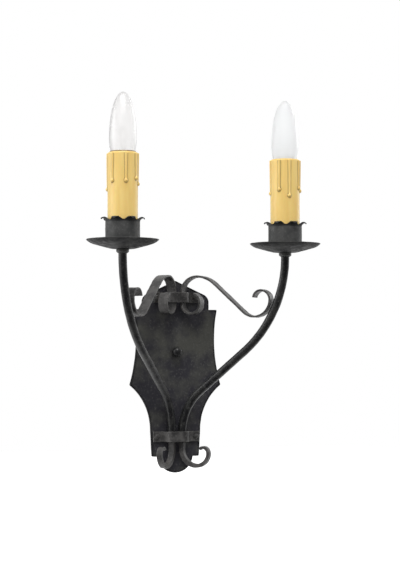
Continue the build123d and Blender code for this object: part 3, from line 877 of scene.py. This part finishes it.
def petal_point(bearing, share, phase):
    """Where the flared rim lies at a bearing, at a share of the petal's length."""
    crest = (0.5 + 0.5 * cos(PETALS * (bearing - phase))) ** 1.3
    along = share * (PETAL_SHORT + (PETAL_LONG - PETAL_SHORT) * crest)
    turn = min(along / FLARE_R, FLARE_TURN)
    lip = FLARE_TURN + (along - turn * FLARE_R) / LIP_R
    radius = FLARE_R * (1 - cos(turn))
    high = FLARE_R * sin(turn)
    if turn == FLARE_TURN:
        radius += LIP_R * (cos(turn) - cos(lip))
        high += LIP_R * (sin(lip) - sin(turn))
    reach = CUP_MID_R + radius
    return Vector((reach * cos(bearing), reach * sin(bearing), CUP_LIP + high))


def make_cup(name, side, valley, stands_for):
    """Cup nested in the pan, its rim flared out into petals, with a valley at the bearing given."""
    foot = (PIPE_HOLE_R, 0, CUP_FLOOR)
    cup = start_line(name, foot)
    wall = CUP_LIP - CUP_FLOOR - 3.112 * MM
    moves = [(5.465 * MM,), (18.55 * MM, 15.5), (2.268 * MM,), (1.9 * MM, 74.5), (wall,)]
    follow(foot, 0, moves, 1.6 * MM, pull_point)
    lathe(PETALS * PETAL_STEPS)
    select("EDGE", lambda edge: min(point.co.z for point in edge.verts) > CUP_LIP - HAIR)
    phase = radians(valley + 180 / PETALS)
    for row in range(1, PETAL_ROWS + 1):
        pull(ORIGIN)
        data = bpy.context.object.data
        mesh = bmesh.from_edit_mesh(data)
        for point in mesh.verts:
            if point.select:
                point.co = petal_point(atan2(point.co.y, point.co.x), row / PETAL_ROWS, phase)
        bmesh.update_edit_mesh(data)
    bpy.ops.mesh.select_all(action="SELECT")
    bpy.ops.mesh.normals_make_consistent(inside=False)
    leave()
    modify(cup, "SOLIDIFY", thickness=SHEET, offset=0)
    round_edges(cup, 0.4 * MM)
    put(cup, on_candle(side))
    hammer(cup, broad_dents, 0.25 * MM, 0.2 * MM)
    mark_relief(cup)
    # Painted shade: the petals above the lip are painted dark, as the shade under their flare
    darken(cup, "wear", 0.33, lambda point: point.z > CUP_LIP - 0.4 * MM)
    dress(cup, lit_sheet_iron, "black_iron", "frame", stands_for)


make_cup("right_cup_forged", 1, 43.4, "right_candle_cup")
make_cup("left_cup_forged", -1, -2.8, "left_candle_cup")


# Ball nut

def make_cap_nut():
    """Ball with a flat that lies on the plate, bored for the stud."""
    deselect()
    bpy.ops.mesh.primitive_uv_sphere_add(
        segments=64, ring_count=40, radius=BALL_R, location=(0, 0, BALL_CENTRE)
    )
    ball = start("cap_nut_forged")
    bpy.ops.mesh.bisect(plane_co=ORIGIN, plane_no=(0, 0, 1), use_fill=True, clear_inner=True)
    close_up()
    deselect()
    bpy.ops.mesh.primitive_cylinder_add(vertices=32, radius=STUD_HOLE_R, depth=16.2 * MM)
    cut(ball, bpy.context.object)
    round_edges(ball, 0.3 * MM)
    put(ball, (0, PLATE_FRONT, 0), (90, 0, 0))
    hammer(ball, broad_dents, 0.2 * MM)
    mark_relief(ball)
    dress(ball, finishes["black_iron"], "black_iron", "cap_nut", "cap_nut")


make_cap_nut()


# Candle sleeves

def add_drip(bearing, long):
    """A run of wax with a bead at its end, on the sleeve's face."""
    angle = radians(bearing - 90)
    out = Vector((cos(angle), sin(angle), 0))
    bead_z = SLEEVE_TOP - long * MM + 2.1 * MM
    top_z = SLEEVE_TOP - 1.2 * MM
    stand = out * (SLEEVE_R + 0.25 * MM)
    bpy.ops.mesh.primitive_cone_add(
        vertices=20, radius1=1.15 * MM, radius2=1.55 * MM, depth=top_z - bead_z,
        location=out * (SLEEVE_R - 0.1 * MM) + Vector((0, 0, (top_z + bead_z) / 2)),
    )
    run = bpy.context.object
    bpy.ops.mesh.primitive_uv_sphere_add(
        segments=24, ring_count=16, radius=1, location=stand + Vector((0, 0, bead_z)),
        scale=(2 * MM, 2 * MM, 2.2 * MM),
    )
    return [run, bpy.context.object]


def make_sleeve(name, side, drips, with_dark_ring, body, stands_for):
    """Sleeve with wax drips run together with its wall. A thin dark brown ring may stand just inside its
    top.
    """
    deselect()
    bpy.ops.mesh.primitive_cylinder_add(
        vertices=96,
        radius=SLEEVE_R,
        depth=SLEEVE_TOP - SLEEVE_FOOT,
        location=(0, 0, (SLEEVE_TOP + SLEEVE_FOOT) / 2),
    )
    sleeve = start(name)
    select("EDGE", lambda edge: min(point.co.z for point in edge.verts) > SLEEVE_TOP - HAIR)
    bpy.ops.mesh.bevel(offset=2 * MM, segments=5)
    leave()
    parts = [sleeve]
    for bearing, long in drips:
        parts += add_drip(bearing, long)
    deselect()
    for part in parts:
        part.select_set(True)
    bpy.context.view_layer.objects.active = sleeve
    bpy.ops.object.transform_apply(location=True, rotation=True, scale=True)
    bpy.ops.object.join()
    modify(sleeve, "REMESH", mode="VOXEL", voxel_size=0.5 * MM)
    modify(sleeve, "SMOOTH", factor=0.5, iterations=5)
    deselect()
    bpy.ops.mesh.primitive_cylinder_add(
        vertices=96, radius=SLEEVE_BORE_R, depth=300 * MM, location=(0, 0, SLEEVE_TOP)
    )
    cut(sleeve, bpy.context.object)
    if with_dark_ring:
        deselect()
        bpy.ops.mesh.primitive_torus_add(
            major_segments=96,
            minor_segments=12,
            major_radius=DARK_RING_R,
            minor_radius=DARK_RING_THICK,
            location=(0, 0, SLEEVE_TOP - MM),
        )
        bpy.context.object.scale.z = DARK_RING_STRETCH
        bpy.ops.object.transform_apply(location=True, rotation=True, scale=True)
        sleeve.select_set(True)
        bpy.context.view_layer.objects.active = sleeve
        bpy.ops.object.join()
    axis = on_candle(side)
    put(sleeve, axis)
    mark_relief(sleeve, "glaze", GLAZE_REACH)
    if with_dark_ring:
        # The ring just inside the top is painted dark brown
        darken(sleeve, "glaze", 0.1, lambda point: (point - axis).xy.length < SLEEVE_BORE_R - HAIR)
    dress(sleeve, finishes["candle_wax"], "candle_wax", body, stands_for)


make_sleeve("right_sleeve_waxed", 1, RIGHT_DRIPS, False, "right_sleeve", "right_candle_sleeve")
make_sleeve("left_sleeve_waxed", -1, LEFT_DRIPS, True, "left_sleeve", "left_candle_sleeve")


# Studio

def shows_background(tree):
    """A value of 1 for rays that look straight at a surface, or see it in metal or through glass."""
    rays = node(tree, "ShaderNodeLightPath").outputs
    seen = combine(tree, "MAXIMUM", rays["Is Camera Ray"], rays["Is Glossy Ray"])
    return combine(tree, "MAXIMUM", seen, rays["Is Transmission Ray"])


def choose(tree, share, first, second):
    """A value that goes from the first to the second by a share."""
    made = node(tree, "ShaderNodeMix", data_type="FLOAT")
    tree.links.new(share, made.inputs["Factor"])
    for socket, value in ((made.inputs["A"], first), (made.inputs["B"], second)):
        if isinstance(value, float):
            socket.default_value = value
        else:
            tree.links.new(value, socket)
    return made.outputs["Result"]


def make_world():
    """White where it is looked at, dark in front where iron mirrors it, and soft light around eye level."""
    world = bpy.data.worlds.new("studio")
    world.use_nodes = True
    bpy.context.scene.world = world
    tree = world.node_tree
    background = tree.nodes["Background"]
    background.inputs["Color"].default_value = WHITE
    way = axes_of(tree, "Generated")
    from_front = spread(tree, way["Y"], 0.05, 1.0, -0.8, -0.1)
    from_below = spread(tree, way["Z"], 0.1, 1.0, -0.6, 0.1)
    room = combine(tree, "MULTIPLY", from_front, from_below)
    rays = node(tree, "ShaderNodeLightPath").outputs
    in_metal = combine(tree, "SUBTRACT", rays["Is Glossy Ray"], rays["Is Transmission Ray"], clamp=True)
    seen = choose(tree, in_metal, 1.0, room)
    low_light = spread(tree, way["Z"], 0.33, 1.18, -0.5, 0.3)
    high_light = spread(tree, way["Z"], 1.0, 0.45, 0.35, 1.0)
    light = combine(tree, "MULTIPLY", low_light, high_light)
    strength = choose(tree, shows_background(tree), light, seen)
    tree.links.new(strength, background.inputs["Strength"])


def make_floor():
    """Pale floor that runs back from below the object."""
    deselect()
    bpy.ops.mesh.primitive_plane_add(size=24, location=(0, 11.7, -1.5))
    floor = start("floor")
    leave()
    finish, tree, shader = new_finish("pale_floor")
    shader.inputs["Base Color"].default_value = (0.8, 0.8, 0.8, 1)
    shader.inputs["Roughness"].default_value = 0.9
    shader.inputs["Specular IOR Level"].default_value = 0.1
    shader.inputs["Emission Color"].default_value = WHITE
    glow = node(tree, "ShaderNodeMath", operation="MULTIPLY")
    glow.inputs[1].default_value = 0.75
    tree.links.new(shows_background(tree), glow.inputs[0])
    tree.links.new(glow.outputs[0], shader.inputs["Emission Strength"])
    floor.data.materials.append(finish)


def add_lamp(name, place, power):
    """Round softbox that looks at the middle of the object."""
    lamp = bpy.data.lights.new(name, "AREA")
    lamp.shape = "DISK"
    lamp.size = 1.2
    lamp.energy = power
    holder = bpy.data.objects.new(name, lamp)
    bpy.context.scene.collection.objects.link(holder)
    holder.location = place
    holder.rotation_euler = (Vector(LAMP_AIM) - Vector(place)).to_track_quat("-Z", "Y").to_euler()


def make_camera():
    """At the photograph's angle: left of the plate, level with it and looking slightly up."""
    azimuth = radians(-21)
    far = 2.0
    focal = 1681 / 565
    back = Vector((sin(azimuth), -cos(azimuth), 0))
    right = Vector((cos(azimuth), sin(azimuth), 0))
    lens = bpy.data.cameras.new("camera")
    lens.lens = lens.sensor_width * focal
    camera = bpy.data.objects.new("camera", lens)
    bpy.context.scene.collection.objects.link(camera)
    camera.location = Vector((0, PLATE_FRONT, -6 * MM)) + back * far + right * 28.9 * MM
    pitch = radians(2.54)
    look = -back * cos(pitch) + Vector((0, 0, sin(pitch)))
    camera.rotation_euler = look.to_track_quat("-Z", "Y").to_euler()
    bpy.context.scene.camera = camera


make_world()
make_floor()
add_lamp("overhead softbox", (-0.4, -1.0, 1.7), 26)
add_lamp("left softbox", (-2.1, 0.5, 0.6), 14)
add_lamp("right softbox", (2.0, 0.6, 0.7), 9)
make_camera()
bpy.context.scene.view_settings.view_transform = "Standard"
